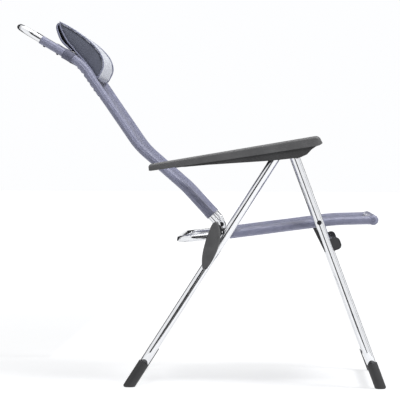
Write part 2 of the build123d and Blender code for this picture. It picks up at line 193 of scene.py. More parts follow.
def woven(name, dark, light, pitch, uv=True, sheen=0.25, slub=0.5, rough=(0.62, 0.85)):
    """Plain weave: over and under yarns with slubs, in the cloth's own metres or in the object's."""
    look = Surface(name)
    look.set(Sheen_Weight=sheen, Sheen_Roughness=0.45)
    axes = look.node("ShaderNodeSeparateXYZ", {0: look.coordinates("UV" if uv else "Object")}).outputs
    across = look.waves(axes[0], pitch)
    along = look.waves(axes[1] if uv else look.math("ADD", axes[1], axes[2]), pitch)
    over = look.span(look.math("MULTIPLY", across, along), 0.0, 1.0, -0.4, 0.4)
    warp = look.math("MULTIPLY", look.math("ABSOLUTE", across), over)
    weft = look.math("MULTIPLY", look.math("ABSOLUTE", along), look.math("SUBTRACT", 1.0, over))
    height = look.math("ADD", warp, weft)
    yarn = look.noise(60.0, 6.0, 0.7)
    tone = look.math("ADD", look.math("MULTIPLY", height, 0.55), look.math("MULTIPLY", yarn, slub))
    look.colour(look.ramp(tone, (0.2, dark), (0.85, light)))
    look.rough(look.span(yarn, *rough))
    look.bump(height, 0.45, 0.0004)
    return look.material


def webbing_cloth():
    """Ribbed webbing: fine lengthwise cords crossed by short picks."""
    look = Surface("webbing")
    look.set(Sheen_Weight=0.2)
    axes = look.node("ShaderNodeSeparateXYZ", {0: look.coordinates("UV")}).outputs
    ribs = look.math("ABSOLUTE", look.waves(axes[0], 0.0028))
    picks = look.math("ABSOLUTE", look.waves(axes[1], 0.0014))
    height = look.math("ADD", ribs, look.math("MULTIPLY", picks, 0.35))
    look.colour(look.ramp(height, (0.15, (0.028, 0.030, 0.050)), (0.9, (0.12, 0.125, 0.185))))
    look.rough(look.span(picks, 0.6, 0.8))
    look.bump(height, 0.7, 0.0005)
    return look.material


def floor_paint():
    """A pale glowing studio floor that fades into the white surroundings."""
    look = Surface("floor_paint")
    look.set(Roughness=0.6, Specular_IOR_Level=0.1, Emission_Strength=1.0)
    look.colour(look.ramp(look.noise(3.0, 3.0), (0.3, (0.34, 0.34, 0.345)), (0.7, (0.36, 0.36, 0.365))))
    away = look.node("ShaderNodeVectorMath", {0: look.coordinates()}, operation="LENGTH").outputs["Value"]
    glow = look.ramp(look.math("MULTIPLY", away, 0.1), (0.12, (0.74, 0.745, 0.75)), (0.42, STUDIO_WHITE))
    look.tree.links.new(glow, look.shader.inputs["Emission Color"])
    return look.material


def flag_cloth():
    """Matt black cloth of the studio flags."""
    look = Surface("flag_cloth")
    look.set(Roughness=0.9)
    look.colour(look.ramp(look.noise(30.0, 3.0), (0.3, (0.012, 0.012, 0.013)), (0.7, (0.02, 0.02, 0.021))))
    return look.material


TUBE = polished_tube()
FLAG_CLOTH = flag_cloth()
BLACK_STEEL = black_steel()
DARK_PLASTIC = moulded("dark_plastic", (0.022, 0.022, 0.023), (0.034, 0.034, 0.036), 0.42, 0.62)
GREY_PLASTIC = moulded("grey_plastic", (0.072, 0.072, 0.074), (0.100, 0.100, 0.103), 0.34, 0.50)
SLING_CLOTH = woven(
    "sling_cloth", (0.072, 0.076, 0.125), (0.29, 0.30, 0.42), 0.0016, sheen=0.4, rough=(0.32, 0.50)
)
# The headrest cloth as a lit and a shaded copy of one cloth: the front painted much lighter than the sling cloth,
# as painted light, and the end panels darker, as painted shade
HEADREST_FRONT_LIT = woven("headrest_front_lit", (0.42, 0.44, 0.49), (0.66, 0.68, 0.74), 0.0013, uv=False, slub=0.6)
HEADREST_ENDS_SHADED = woven("headrest_ends_shaded", (0.045, 0.050, 0.072), (0.13, 0.14, 0.185), 0.0013, uv=False)
WEBBING = webbing_cloth()
FLAP_CLOTH = woven("flap_cloth", (0.08, 0.085, 0.12), (0.22, 0.23, 0.31), 0.0014)
PIPING = woven("piping", (0.10, 0.105, 0.16), (0.27, 0.285, 0.39), 0.0011, uv=False)
# Near-black cloth of the sheet in the headrest's slot: painted shadow
SLOT_SHADOW_PAINT = woven("paint_slot_shadow", (0.004, 0.004, 0.006), (0.012, 0.012, 0.015), 0.0014, uv=False, sheen=0.0)
THREAD = woven("thread", (0.20, 0.21, 0.29), (0.42, 0.43, 0.53), 0.0006, uv=False)

CAD_MATERIALS = {
    "polished_tube": TUBE,
    "steel_fastener": BLACK_STEEL,
    "dark_plastic": DARK_PLASTIC,
    "grey_plastic": GREY_PLASTIC,
    "sling_cloth": SLING_CLOTH,
    "headrest_cloth": HEADREST_FRONT_LIT,
    "webbing": WEBBING,
}


def dress_cad():
    """Every CAD node gets the finish of its slot."""
    slots = {part["node"]: part["material_slot"] for part in frame["record"]["subparts"]}
    for name, node in frame["nodes"].items():
        node.data.materials.clear()
        node.data.materials.append(CAD_MATERIALS[slots[name]])


# ---------------------------------------------------------------- lines


ARC_STEPS = 14


def bend_round(points, radii, step):
    """A filleted line through (x, z) points, as evenly spaced stations."""
    path = [Vector(points[0])]
    for before, corner, after, radius in zip(points, points[1:], points[2:], radii):
        corner = Vector(corner)
        back = (Vector(before) - corner).normalized()
        ahead = (Vector(after) - corner).normalized()
        half = back.angle(ahead) / 2
        inset = radius / math.tan(half)
        centre = corner + (back + ahead).normalized() * (radius / math.sin(half))
        start = corner + back * inset - centre
        end = corner + ahead * inset - centre
        first = math.atan2(start.y, start.x)
        turn = (math.atan2(end.y, end.x) - first + math.pi) % math.tau - math.pi
        for i in range(ARC_STEPS + 1):
            angle = first + turn * i / ARC_STEPS
            path.append(centre + Vector((math.cos(angle), math.sin(angle))) * radius)
    path.append(Vector(points[-1]))
    return even(path, step)


def smooth_line(points, each):
    """A Catmull-Rom curve through (x, z) points, with so many steps between each two."""
    pts = [Vector(p) for p in points]
    pts = [pts[0] * 2 - pts[1], *pts, pts[-1] * 2 - pts[-2]]
    line = []
    for a, b, c, d in zip(pts, pts[1:], pts[2:], pts[3:]):
        for k in range(each):
            t = k / each
            bend = (2 * a - 5 * b + 4 * c - d) * t**2 + (3 * b - a - 3 * c + d) * t**3
            line.append(0.5 * (2 * b + (c - a) * t + bend))
    line.append(pts[-2])
    return line


def parabola(start, middle, end, count):
    """Points along the parabola through three (x, z) points."""
    a, b, c = Vector(start), Vector(middle), Vector(end)
    points = []
    for k in range(count + 1):
        t = k / count
        points.append(a * (1 - t) * (1 - 2 * t) + b * 4 * t * (1 - t) + c * t * (2 * t - 1))
    return points


def running_lengths(path):
    """The distance along the line to each of its points."""
    lengths = [0.0]
    for a, b in zip(path, path[1:]):
        lengths.append(lengths[-1] + (Vector(b) - Vector(a)).length)
    return lengths


def even(path, step):
    """The same line with stations an equal distance apart, near step."""
    lengths = running_lengths(path)
    count = max(2, round(lengths[-1] / step))
    stations = []
    spot = 0
    for i in range(count + 1):
        want = lengths[-1] * i / count
        while spot < len(path) - 2 and lengths[spot + 1] < want:
            spot += 1
        span = max(lengths[spot + 1] - lengths[spot], 1e-9)
        stations.append(path[spot].lerp(path[spot + 1], (want - lengths[spot]) / span))
    return stations


def pick(line, count):
    """Points at count nearly equal steps of the line, from its first point to its last."""
    return [line[round(i * (len(line) - 1) / count)] for i in range(count + 1)]


def normals_of(stations, sign):
    """The unit normal at each station, to the left of travel, or the right if sign is -1."""
    found = []
    for i, _ in enumerate(stations):
        run = (stations[min(i + 1, len(stations) - 1)] - stations[max(i - 1, 0)]).normalized()
        found.append(Vector((-run.y, run.x)) * sign)
    return found


def height_at(points, u):
    """The height at u of a line through (u, height) points."""
    for (ua, wa), (ub, wb) in zip(points, points[1:]):
        if ua <= u <= ub:
            return wa + (wb - wa) * (u - ua) / (ub - ua)
    return points[0][1] if u < points[0][0] else points[-1][1]


def smoothstep(x, low, high):
    """0 up to low, 1 from high on, and a smooth rise between."""
    t = min(1.0, max(0.0, (x - low) / (high - low)))
    return t * t * (3 - 2 * t)


def ridge(degrees, centre):
    """A soft bump of height 1 about 14 degrees wide, as a seam makes round a sleeve."""
    return math.exp(-(((degrees - centre) / 7) ** 2))


# ---------------------------------------------------------------- meshes


def add_object(name, mesh, material, body):
    """A smooth-shaded piece that rides on a body."""
    for polygon in mesh.polygons:
        polygon.use_smooth = True
    mesh.materials.append(material)
    piece = bpy.data.objects.new(name, mesh)
    bpy.context.collection.objects.link(piece)
    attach(piece, body)
    return piece


def modifier(piece, kind, **settings):
    """Add a modifier with its settings."""
    made = piece.modifiers.new(kind.lower(), kind)
    for key, value in settings.items():
        setattr(made, key, value)
    return made


def bake(piece):
    """Replace the piece's mesh by what its modifiers make of it."""
    graph = bpy.context.evaluated_depsgraph_get()
    made = bpy.data.meshes.new_from_object(piece.evaluated_get(graph))
    piece.modifiers.clear()
    piece.data = made
    for polygon in made.polygons:
        polygon.use_smooth = True


def grid_mesh(name, rows, wrap=False, uv=None):
    """A mesh through rows of points. uv gives (u, v) in metres for row i, column j."""
    mesh = bpy.data.meshes.new(name)
    wide = len(rows[0])
    points = [p for row in rows for p in row]
    last = wide if wrap else wide - 1
    faces = []
    for i in range(len(rows) - 1):
        for j in range(last):
            k = (j + 1) % wide
            faces.append((i * wide + j, i * wide + k, (i + 1) * wide + k, (i + 1) * wide + j))
    mesh.from_pydata(points, [], faces)
    if uv:
        layer = mesh.uv_layers.new(name="metres")
        for polygon in mesh.polygons:
            for loop in polygon.loop_indices:
                i, j = divmod(mesh.loops[loop].vertex_index, wide)
                layer.data[loop].uv = uv(i, j)
    return mesh


def closed_mesh(name, rows):
    """A closed form through rings of points, its first and last ring capped."""
    mesh = grid_mesh(name, rows, wrap=True)
    bm = bmesh.new()
    bm.from_mesh(mesh)
    bmesh.ops.holes_fill(bm, edges=[edge for edge in bm.edges if edge.is_boundary])
    bmesh.ops.recalc_face_normals(bm, faces=bm.faces)
    bm.to_mesh(mesh)
    bm.free()
    return mesh


def finished_mesh(name, bm):
    """A mesh made from a bmesh, which is freed."""
    mesh = bpy.data.meshes.new(name)
    bm.to_mesh(mesh)
    bm.free()
    return mesh


# ---------------------------------------------------------------- slings


# The cloth's thickness, its radius round a tube, and the distance between its rows of points
CLOTH = 0.0012
SLEEVE_R = 0.0109
SLING_STEP = 0.006
HEM_LONG = 0.014
HEM_THICK = 0.0006
SCALLOP_PITCH = 0.0155
STITCH_PITCH = 0.0052
# Rows of thread on each side: distance inwards from the tube, and height
STITCH_ROWS = ((0.0185, 0.0041), (0.0245, 0.0026))
# The panel starts to drop below the tubes' tops at the first distance inwards, and has dropped at the second
PANEL_DROP = (0.012, 0.04)
# The wrap round the front bar: its half length, radius, points round it, and the cloth between two of them
BAR_HALF = side_reach("seat_front_bar")
BAR_R = 0.0124
BAR_SIDES = 64
BAR_COLUMN = 0.00122


def sleeve_profile(half, ridges, sag):
    """One half of the cloth's cross-section: (distance inwards from the tube, height, angle or None)."""
    line = [(0.034, -0.0026, None), (0.026, -0.0032, None), (0.0175, -0.0044, None), (0.0125, -0.0052, None)]
    for k in range(56):
        angle = math.radians(-28 - k * 272 / 55)
        radius = SLEEVE_R
        for centre, high in ridges:
            radius += high * ridge(math.degrees(angle), centre)
        line.append((radius * math.cos(angle), radius * math.sin(angle), angle))
    slope = [(0.0105, 0.0072), (0.0155, 0.0044), (0.022, 0.0024), (0.030, 0.0012), (0.040, 0.0004)]
    line += [(inwards, height, None) for inwards, height in slope]
    steps = 16
    for k in range(1, steps + 1):
        inwards = 0.040 + (half - 0.040) * k / steps
        away = 1 - inwards / half
        line.append((inwards, -sag * (1 - away * away), None))
    return line


def cloth_push(y, along, side):
    """Small creases and the yarn's unevenness, as a push along the cloth's normal."""
    crease = noise.noise(Vector((y * 60, along * 9, 3.0 * side))) * 0.0006
    fine = noise.noise(Vector((y * 220, along * 70, 8.0))) * 0.00018
    return crease + fine


def panel_fold(inwards, along, side):
    """Pull folds that run in from the sleeve and fade towards the middle."""
    pull = math.exp(-inwards / 0.045)
    drift = noise.noise(Vector((along * 7, 1.7 * side, 0)))
    return math.sin(along * 95 + 5 * drift) * pull * 0.0007


def sling(name, node, body, line, bends, half, sign, ridges, sag, drop, gather):
    """One cloth: a sleeve round each rail and the panel between, with turned hems at both ends."""
    stations = bend_round(line, bends, SLING_STEP)
    normals = normals_of(stations, sign)
    total = running_lengths(stations)[-1]
    right = sleeve_profile(half, ridges, sag)
    across = [(-half + inwards, high, angle, -1) for inwards, high, angle in right]
    across += [(half - inwards, high, angle, 1) for inwards, high, angle in reversed(right[:-1])]
    widths = running_lengths([(y, high) for y, high, *_ in across])
    last = len(stations) - 1
    rows = []
    for i, (spot, normal) in enumerate(zip(stations, normals)):
        along = total * i / last
        edge = min(along, total - along)
        hem = HEM_THICK * (1 - smoothstep(edge, HEM_LONG, HEM_LONG + 0.003))
        scallop = abs(math.sin(math.pi * along / SCALLOP_PITCH)) ** 0.7 - 0.3
        row = []
        for y, high, angle, side in across:
            push = hem + cloth_push(y, along, side)
            inwards = half - abs(y)
            if angle is None:
                out = high - drop * smoothstep(inwards, *PANEL_DROP)
                out += panel_fold(inwards, along, side) + push * 0.8
            else:
                low = max(0.0, -math.sin(angle)) * gather(along / total)
                radius = math.hypot(high, inwards) + push * 0.7 + low * scallop
                out = radius * math.sin(angle)
                y = side * (half - radius * math.cos(angle))
            row.append((spot.x + normal.x * out, y, spot.y + normal.y * out))
        rows.append(row)
    mesh = grid_mesh(name, rows, uv=lambda i, j: (widths[j], total * i / last))
    piece = add_object(name, mesh, SLING_CLOTH, body)
    modifier(piece, "SOLIDIFY", thickness=CLOTH, offset=0.0)
    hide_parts(node)
    stitches(f"{name}_stitches", stations, sign, half, drop, body)


def stitches(name, stations, sign, half, drop, body):
    """Rows of thread beside each sleeve, on both faces of the cloth, each stitch a short raised bead."""
    spots = even(stations, STITCH_PITCH)
    ups = normals_of(spots, sign)
    bm = bmesh.new()
    for side in (-1, 1):
        for inwards, height in STITCH_ROWS:
            lift = height - drop * smoothstep(inwards, *PANEL_DROP)
            for i in range(2, len(spots) - 2):
                spot, up = spots[i], ups[i]
                run = (spots[i + 1] - spots[i - 1]).normalized() * 0.0017
                for face in (1, -1):
                    level = lift + face * 0.0008
                    centre = Vector((spot.x + up.x * level, side * (half - inwards), spot.y + up.y * level))
                    rise = Vector((up.x, 0, up.y)) * 0.0004
                    bead(bm, centre, Vector((run.x, 0, run.y)), Vector((0, 0.00045, 0)), rise)
    add_object(name, finished_mesh(name, bm), THREAD, body)


def bead(bm, centre, along, across, up):
    """A small six-sided thread bead with pointed ends."""
    tips = [bm.verts.new(centre - along * 1.25), bm.verts.new(centre + along * 1.25)]
    rings = []
    for end in (-0.75, 0.75):
        ring = []
        for k in range(6):
            angle = math.tau * k / 6
            ring.append(bm.verts.new(centre + along * end + across * math.cos(angle) + up * math.sin(angle)))
        rings.append(ring)
    for k in range(6):
        n = (k + 1) % 6
        bm.faces.new((rings[0][k], rings[0][n], rings[1][n], rings[1][k]))
        bm.faces.new((tips[0], rings[0][n], rings[0][k]))
        bm.faces.new((tips[1], rings[1][k], rings[1][n]))


def front_wrap():
    """The seat cloth's front end, wrapped round the front bar and gathered shut at both ends."""
    cx, cz = SEAT_LINE[-1]
    ends = [(0.0012, 0.0005), (0.0016, 0.004), (0.0009, 0.0075)]
    ends += [(0.0, 0.0105), (-0.0014, 0.0121), (-0.004, 0.0126)]
    profile = [(-BAR_HALF - push, radius) for push, radius in ends]
    profile += [(-BAR_HALF + 0.006 + (2 * BAR_HALF - 0.012) * k / 70, BAR_R) for k in range(71)]
    profile += [(BAR_HALF + push, radius) for push, radius in reversed(ends)]
    rows = []
    for y, radius in profile:
        row = []
        for k in range(BAR_SIDES):
            angle = math.tau * k / BAR_SIDES
            ripple = 0.0003 * math.sin(9 * angle) * smoothstep(abs(y), BAR_HALF - 0.012, BAR_HALF)
            worn = 0.0005 * noise.noise(Vector((y * 40, math.cos(angle) * 2, math.sin(angle) * 2)))
            seam = 0.0007 * ridge(math.degrees(angle), 215)
            r = radius + ripple + worn + seam
            row.append((cx + r * math.cos(angle), y, cz + r * math.sin(angle)))
        rows.append(row)
    mesh = grid_mesh("seat_front_wrap", rows, wrap=True, uv=lambda i, j: (j * BAR_COLUMN, rows[i][0][1]))
    piece = add_object("seat_front_wrap", mesh, SLING_CLOTH, "seat")
    modifier(piece, "SOLIDIFY", thickness=CLOTH, offset=-1.0)


def shoulder_gather(share):
    """How deep the back sleeve's gathers are, which lie under the shoulder bend."""
    return 0.0042 * smoothstep(share, 0.62, 0.70) * (1 - smoothstep(share, 0.80, 0.86))


def add_slings():
    """The seat and back cloths, and the wrap at the seat's front."""
    sling(
        "seat_sling_cloth", "seat_sling", "seat",
        line=SEAT_LINE, bends=SEAT_BENDS, half=SEAT_Y, sign=1,
        ridges=[(-150, 0.0009), (-205, 0.0004)], sag=0.004, drop=0.0, gather=lambda share: 0.0,
    )
    front_wrap()
    sling(
        "back_sling_cloth", "back_sling", "back",
        line=BACK_LINE, bends=BACK_BENDS, half=BACK_Y, sign=-1,
        ridges=[(-135, 0.0007), (-172, 0.0009), (-212, 0.0006)], sag=0.003, drop=0.0022,
        gather=shoulder_gather,
    )


# ---------------------------------------------------------------- headrest


# Side outlines as (x, z): the cushion's front, from its top down, its rear, from its foot up, and the flap
HEAD_FRONT = [
    (-0.389, 1.0), (-0.359, 0.984), (-0.322, 0.959), (-0.2957, 0.937),
    (-0.275, 0.9106), (-0.2676, 0.8792), (-0.2816, 0.846),
]
HEAD_REAR = [
    (-0.2816, 0.846), (-0.290, 0.848), (-0.3053, 0.872), (-0.3329, 0.9035),
    (-0.353, 0.927), (-0.371, 0.950), (-0.387, 0.982), (-0.389, 1.0),
]
FLAP = [
    (-0.3912, 0.996), (-0.396, 0.990), (-0.396, 0.978),
    (-0.3845, 0.949), (-0.367, 0.9305), (-0.3555, 0.9215),
]
HEAD_HALF = side_reach("headrest_cushion")
FLAP_HALF = side_reach("headrest_flap")
FLAP_STEP = 0.004
# Half width of the near-black sheet painted as shadow in the headrest's slot
SLOT_SHADOW_HALF = 0.184
# The cushion before it is pumped up: how much smaller it is, its forward belly and the sag of its foot
CUSHION_SHRINK = 0.0018
CUSHION_BELLY = 0.004
CUSHION_SAG = 0.010
CUSHION_COLUMNS = 40
VOXEL = 0.0048
PRESSURE = 4.0
PUMP_FRAMES = 20
PUMP_CAP = 0.007
STRAP_WIDE = 0.029
STRAP_R = 0.0131
STRAP_ALONG = 0.042
# How far each press stud lies along the handle run, and how far below the tube's centre line
STUD_PLACES = (0.0708, 0.1127)
STUD_DEEP = 0.0112


def cushion_ring(shrink):
    """The cushion's closed outline, evenly spaced, drawn in by shrink metres."""
    ring = even(smooth_line(HEAD_FRONT, 8)[:-1] + smooth_line(HEAD_REAR, 8), 0.006)[:-1]
    centre = sum(ring, Vector((0, 0))) / len(ring)
    inner = []
    for i, spot in enumerate(ring):
        run = (ring[(i + 1) % len(ring)] - ring[i - 1]).normalized()
        inwards = Vector((-run.y, run.x))
        if inwards.dot(centre - spot) < 0:
            inwards = -inwards
        inner.append(spot + inwards * shrink)
    return inner


def cushion():
    """Padded headrest: pumped up by cloth simulation from a slightly small shape, its end seams pinned."""
    ring = cushion_ring(CUSHION_SHRINK)
    rows = []
    for k in range(CUSHION_COLUMNS + 1):
        y = -HEAD_HALF + 0.002 + (2 * HEAD_HALF - 0.004) * k / CUSHION_COLUMNS
        middle = 1 - (y / HEAD_HALF) ** 2
        row = []
        for spot in ring:
            low = 1 - smoothstep(spot.y, 0.846, 0.905)
            ahead = smoothstep(spot.x, -0.36, -0.27)
            row.append((spot.x + CUSHION_BELLY * middle * ahead, y, spot.y - CUSHION_SAG * middle * low))
        rows.append(row)
    mesh = closed_mesh("headrest_pad", rows)
    # The pad takes the lighter copy of the cloth, painted light; its end panels get the shaded copy below
    piece = add_object("headrest_pad", mesh, HEADREST_FRONT_LIT, "headrest")
    modifier(piece, "REMESH", mode="VOXEL", voxel_size=VOXEL, use_smooth_shade=True)
    bake(piece)
    pump(piece)
    modifier(piece, "SMOOTH", factor=0.5, iterations=2)
    bake(piece)
    for vertex in piece.data.vertices:
        vertex.co += vertex.normal * cushion_dents(vertex.co)
    paint_shaded_ends(piece)
    modifier(piece, "SUBSURF", levels=1, render_levels=1)
    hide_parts("headrest_cushion")


def cushion_dents(spot):
    """Soft creases that run from the end seams, deepest near them, and a slack unevenness between."""
    edge = math.exp(-(HEAD_HALF - abs(spot.y)) / 0.03)
    slack = 0.0014 * noise.noise(Vector((spot.x * 9, spot.y * 12, spot.z * 9))) * (1 - edge)
    if abs(spot.y) >= HEAD_HALF - 0.006:
        return slack
    ripple = math.sin(spot.x * 150 + spot.z * 190 + 4 * noise.noise(spot * 14))
    return slack - 0.0009 * edge * ripple


def pump(piece):
    """Inflate with cloth pressure, the end seams pinned, and no point moving further than the cap."""
    still = [vertex.co.copy() for vertex in piece.data.vertices]
    outline = cushion_ring(0.0)
    group = piece.vertex_groups.new(name="seam")
    for vertex in piece.data.vertices:
        near_end = HEAD_HALF - abs(vertex.co.y) < 0.007
        gap = min((Vector((vertex.co.x, vertex.co.z)) - spot).length for spot in outline)
        if near_end and gap < 0.008:
            group.add([vertex.index], 1.0, "REPLACE")
    cloth = piece.modifiers.new("cloth", "CLOTH")
    cloth.settings.vertex_group_mass = "seam"
    cloth.settings.use_pressure = True
    cloth.settings.uniform_pressure_force = PRESSURE
    cloth.settings.effector_weights.gravity = 0.0
    cloth.settings.quality = 5
    cloth.point_cache.frame_start = 1
    cloth.point_cache.frame_end = PUMP_FRAMES
    scene = bpy.context.scene
    for number in range(1, PUMP_FRAMES + 1):
        scene.frame_set(number)
    bake(piece)
    scene.frame_set(1)
    for vertex, place in zip(piece.data.vertices, still):
        move = vertex.co - place
        if move.length > PUMP_CAP:
            vertex.co = place + move * (PUMP_CAP / move.length)


def paint_shaded_ends(piece):
    """The two end panels take the darker copy of the headrest cloth, painted shade."""
    piece.data.materials.append(HEADREST_ENDS_SHADED)
    for polygon in piece.data.polygons:
        if HEAD_HALF - abs(polygon.center.y) < 0.012 and abs(polygon.normal.y) > 0.62:
            polygon.material_index = 1


def piping(name, points, radius, closed):
    """A soft round cord sewn to the headrest through 3-D points, as a mesh."""
    curve = bpy.data.curves.new(name, "CURVE")
    curve.dimensions = "3D"
    curve.bevel_depth = radius
    curve.bevel_resolution = 3
    spline = curve.splines.new("POLY")
    spline.points.add(len(points) - 1)
    for knot, spot in zip(spline.points, points):
        knot.co = (*spot, 1)
    spline.use_cyclic_u = closed
    holder = bpy.data.objects.new(f"{name}_curve", curve)
    bpy.context.collection.objects.link(holder)
    mesh = bpy.data.meshes.new_from_object(holder.evaluated_get(bpy.context.evaluated_depsgraph_get()))
    bpy.data.objects.remove(holder)
    mesh.name = name
    mesh.materials.clear()
    add_object(name, mesh, PIPING, "headrest")


def headrest_trim():
    """Piping round both end panels, the flap behind, a near-black sheet painted as shadow in the slot behind the
    cushion, and the strap.
    """
    for side, label in SIDES:
        y = side * (HEAD_HALF - 0.0012)
        points = [(p.x, y, p.y) for p in cushion_ring(0.0006)]
        piping(f"headrest_piping_{label}", points, 0.0021, True)
    flap()
    paint_slot_shadow()
    strap()


def flap():
    """The cloth flap that hangs behind the cushion, with a bound edge on each side."""
    line = even(smooth_line(FLAP, 6), FLAP_STEP)
    columns = 60
    pitch = 2 * FLAP_HALF / columns
    rows = []
    for spot, normal in zip(line, normals_of(line, 1)):
        row = []
        for k in range(columns + 1):
            y = -FLAP_HALF + pitch * k
            wave = 0.0012 * noise.noise(Vector((y * 14, spot.y * 20, 2.0)))
            wave *= 1 - smoothstep(abs(y), 0.17, FLAP_HALF)
            row.append((spot.x + normal.x * wave, y, spot.y + normal.y * wave))
        rows.append(row)
    mesh = grid_mesh("headrest_flap_cloth", rows, uv=lambda i, j: (j * pitch, i * FLAP_STEP))
    piece = add_object("headrest_flap_cloth", mesh, FLAP_CLOTH, "headrest")
    modifier(piece, "SOLIDIFY", thickness=0.0030, offset=0.0)
    modifier(piece, "BEVEL", width=0.0008, segments=2)
    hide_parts("headrest_flap")
    for side, label in SIDES:
        piping(f"flap_binding_{label}", [(p.x, side * FLAP_HALF, p.y) for p in line], 0.0026, False)


def paint_slot_shadow():
    """A near-black sheet that closes the slot between the cushion and its flap: painted shadow where the slot lies
    in shade.
    """
    front = pick(even(smooth_line(HEAD_REAR[4:], 6), FLAP_STEP), 18)
    back = pick(even(smooth_line(FLAP, 6), FLAP_STEP)[::-1], 18)
    pairs = list(zip(front, back))
    outline = [a.lerp(b, 0.04) for a, b in pairs] + [b.lerp(a, 0.12) for a, b in reversed(pairs)]
    middle = sum(outline, Vector((0, 0))) / len(outline)
    rows = []
    for k in range(31):
        y = -SLOT_SHADOW_HALF + 2 * SLOT_SHADOW_HALF * k / 30
        tuck = 0.08 * smoothstep(abs(y), 0.176, SLOT_SHADOW_HALF)
        ring = [p.lerp(middle, tuck) for p in outline]
        rows.append([(p.x, y, p.y) for p in ring])
    mesh = closed_mesh("headrest_painted_slot_shadow", rows)
    piece = add_object("headrest_painted_slot_shadow", mesh, SLOT_SHADOW_PAINT, "headrest")


def strap_loop():
    """The strap's path round both sleeves, as (y, height) points: a straight and a half turn, twice."""
    loop = []
    for side in (1, -1):
        for k in range(40):
            loop.append((side * (-BACK_Y + 2 * BACK_Y * k / 40), side * STRAP_R))
        for k in range(24):
            angle = side * math.pi / 2 - math.pi * k / 24
            loop.append((side * BACK_Y + STRAP_R * math.cos(angle), STRAP_R * math.sin(angle)))
    return loop


def strap():
    """Webbing loop round both sleeves, with raised selvedges."""
    middle = SHOULDER + HANDLE_RUN * STRAP_ALONG
    up = Vector((HANDLE_RUN.y, -HANDLE_RUN.x))
    loop = strap_loop()
    lengths = running_lengths(loop)
    columns = 12
    rows = []
    for j in range(columns + 1):
        along = -STRAP_WIDE / 2 + STRAP_WIDE * j / columns
        selvedge = 0.0006 if abs(along) > 0.0105 else 0
        row = []
        for y, high in loop:
            uneven = 0.0003 * noise.noise(Vector((y * 30, high * 90, along * 50)))
            reach = 1 + (selvedge + uneven) / STRAP_R
            spot = middle + HANDLE_RUN * along + up * high * reach
            out = y if abs(y) <= BACK_Y else math.copysign(BACK_Y + (abs(y) - BACK_Y) * reach, y)
            row.append((spot.x, out, spot.y))
        rows.append(row)
    mesh = grid_mesh(
        "headrest_strap_web", rows, wrap=True, uv=lambda i, j: (STRAP_WIDE * i / columns, lengths[j])
    )
    piece = add_object("headrest_strap_web", mesh, WEBBING, "headrest")
    modifier(piece, "SOLIDIFY", thickness=0.0012, offset=1.0)
    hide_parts("headrest_strap")


def studs():
    """Press studs under the top of each back sleeve."""
    down = Vector((-HANDLE_RUN.y, HANDLE_RUN.x))
    profile = [(0.0, 0.0030), (0.0015, 0.0029), (0.0029, 0.0022), (0.0036, 0.0010), (0.0038, -0.0006)]
    bm = bmesh.new()
    for side in (-1, 1):
        for along in STUD_PLACES:
            centre = SHOULDER + HANDLE_RUN * along + down * STUD_DEEP
            rings = []
            for radius, high in profile:
                ring = []
                for k in range(16):
                    angle = math.tau * k / 16
                    spot = centre + HANDLE_RUN * radius * math.cos(angle) + down * high
                    ring.append(bm.verts.new((spot.x, side * BACK_Y + radius * math.sin(angle), spot.y)))
                rings.append(ring)
            for a, b in zip(rings, rings[1:]):
                for k in range(16):
                    n = (k + 1) % 16
                    bm.faces.new((a[k], a[n], b[n], b[k]))
    bmesh.ops.remove_doubles(bm, verts=bm.verts, dist=1e-5)
    bmesh.ops.recalc_face_normals(bm, faces=bm.faces)
    add_object("sleeve_studs", finished_mesh("sleeve_studs", bm), BLACK_STEEL, "back")


# ---------------------------------------------------------------- plastic


# The armrest's centre line runs from its rear pivot towards the top hinge of the legs
ARM_PIVOT = joint_place("armrest_fold")
ARM_AIM = joint_place("fold")
ARM_Y = round(sum(corner[1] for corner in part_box("armrest_shell_left")) / 2, 4)
ARM_HALF = side_reach("armrest_shell_left", less=ARM_Y)
# The shell's top and lower edges: (distance along from the pivot, height above the centre line)
ARM_TOP = [
    (-0.029, 0.0035), (-0.026, 0.0072), (-0.020, 0.0090), (0.428, 0.0341),
    (0.436, 0.0336), (0.442, 0.0280), (0.447, 0.0155),
]
ARM_LOW = [
    (-0.029, -0.0085), (-0.024, -0.0094), (0.040, -0.0070), (0.290, 0.0020),
    (0.437, 0.0085), (0.444, 0.0112), (0.447, 0.0140),
]
ARM_HOLLOW = (0.042, 0.428)

# The side plate's tips and the middles of its two edges, as (x, z)
LEAF_TOP = (0.046, 0.4665)
LEAF_FOOT = (0.0155, 0.3125)
LEAF_REAR = (0.013, 0.3740)
LEAF_FRONT = (0.058, 0.3960)
# Rings of the side plate: share of the outline's size, and distance out from the plate's inner face
LEAF_Y = round(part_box("side_plate_left")[0][1], 4)
LEAF_RINGS = [
    (0.02, 0.0), (1.0, 0.0), (1.0, 0.0080), (0.985, 0.0098), (0.955, 0.0110),
    (0.90, 0.0114), (0.78, 0.0112), (0.5, 0.0118), (0.2, 0.0120), (0.02, 0.0120),
]


